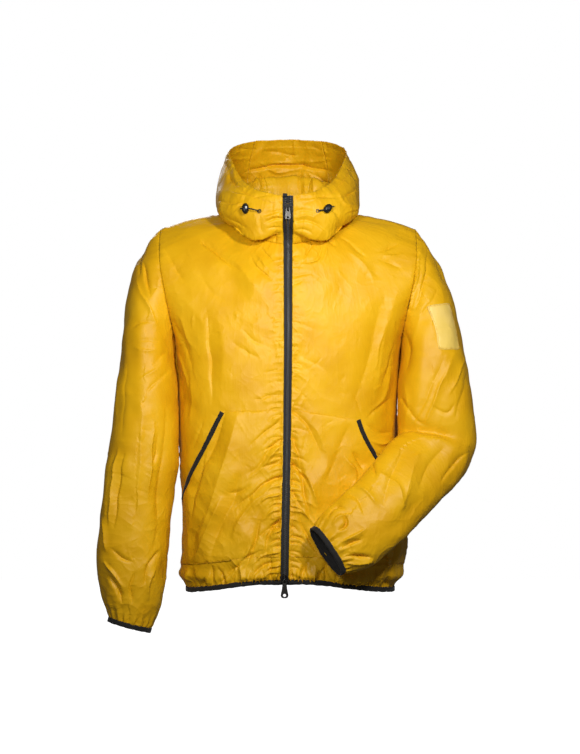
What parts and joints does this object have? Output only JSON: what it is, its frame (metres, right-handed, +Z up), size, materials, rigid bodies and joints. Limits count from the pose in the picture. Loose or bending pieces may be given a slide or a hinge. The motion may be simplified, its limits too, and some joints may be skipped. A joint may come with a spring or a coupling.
{
  "type": "hooded windbreaker jacket",
  "caption": "Hollow, filled-out hooded windbreaker with a full front zip, slanted pockets, gathered elastic cuffs and hem, one arm hanging and one bent to the front.",
  "frame": {"origin": "centre of the wearer's neck, level with the side neck points where the shoulders hold the garment up", "axes": "+Z up, the wearer faces -Y, +X towards the wearer's left hand"},
  "size_m": [0.6584, 0.3666, 0.8734],
  "materials": {
    "shell_nylon": "crinkled plain-weave nylon with a soft sheen",
    "patch_nylon": "smooth sewn-on patch",
    "elastic_binding": "matt knitted elastic",
    "zip_tape": "matt woven tape",
    "zip_teeth": "moulded, satin",
    "gunmetal": "plated, polished",
    "drawcord": "braided, matt",
    "black_plastic": "moulded, satin"
  },
  "bodies": {
    "jacket": {"front_right": "shell_nylon", "front_left": "shell_nylon", "back": "shell_nylon", "sleeve_right": "shell_nylon", "sleeve_left": "shell_nylon", "hood_side_right": "shell_nylon", "hood_side_left": "shell_nylon", "hood_centre": "shell_nylon", "pocket_right": "shell_nylon", "pocket_left": "shell_nylon", "sleeve_patch": "patch_nylon", "pocket_binding_right": "elastic_binding", "pocket_binding_left": "elastic_binding", "hem_binding": "elastic_binding", "cuff_binding_right": "elastic_binding", "cuff_binding_left": "elastic_binding", "zip_tape_right": "zip_tape", "zip_tape_left": "zip_tape", "zip_chain": "zip_teeth", "slider_top": "gunmetal", "slider_bottom": "gunmetal", "cord_right": "drawcord", "cord_left": "drawcord", "cord_lock_right": "black_plastic", "cord_lock_left": "black_plastic", "eyelet_right": "black_plastic", "eyelet_left": "black_plastic"},
    "pull_top": {"pull_top": "gunmetal"},
    "pull_bottom": {"pull_bottom": "gunmetal"}
  },
  "joints": [
    {"name": "pull_top_swing", "type": "hinge", "parent": "jacket", "child": "pull_top", "pos_m": [0, -0.11843, -0.00733], "axis": [-1, 0, 0], "range_deg": [0, 150]},
    {"name": "pull_bottom_swing", "type": "hinge", "parent": "jacket", "child": "pull_bottom", "pos_m": [-0.00574, -0.116, -0.64009], "axis": [-1, 0, 0], "range_deg": [0, 150]}
  ]
}
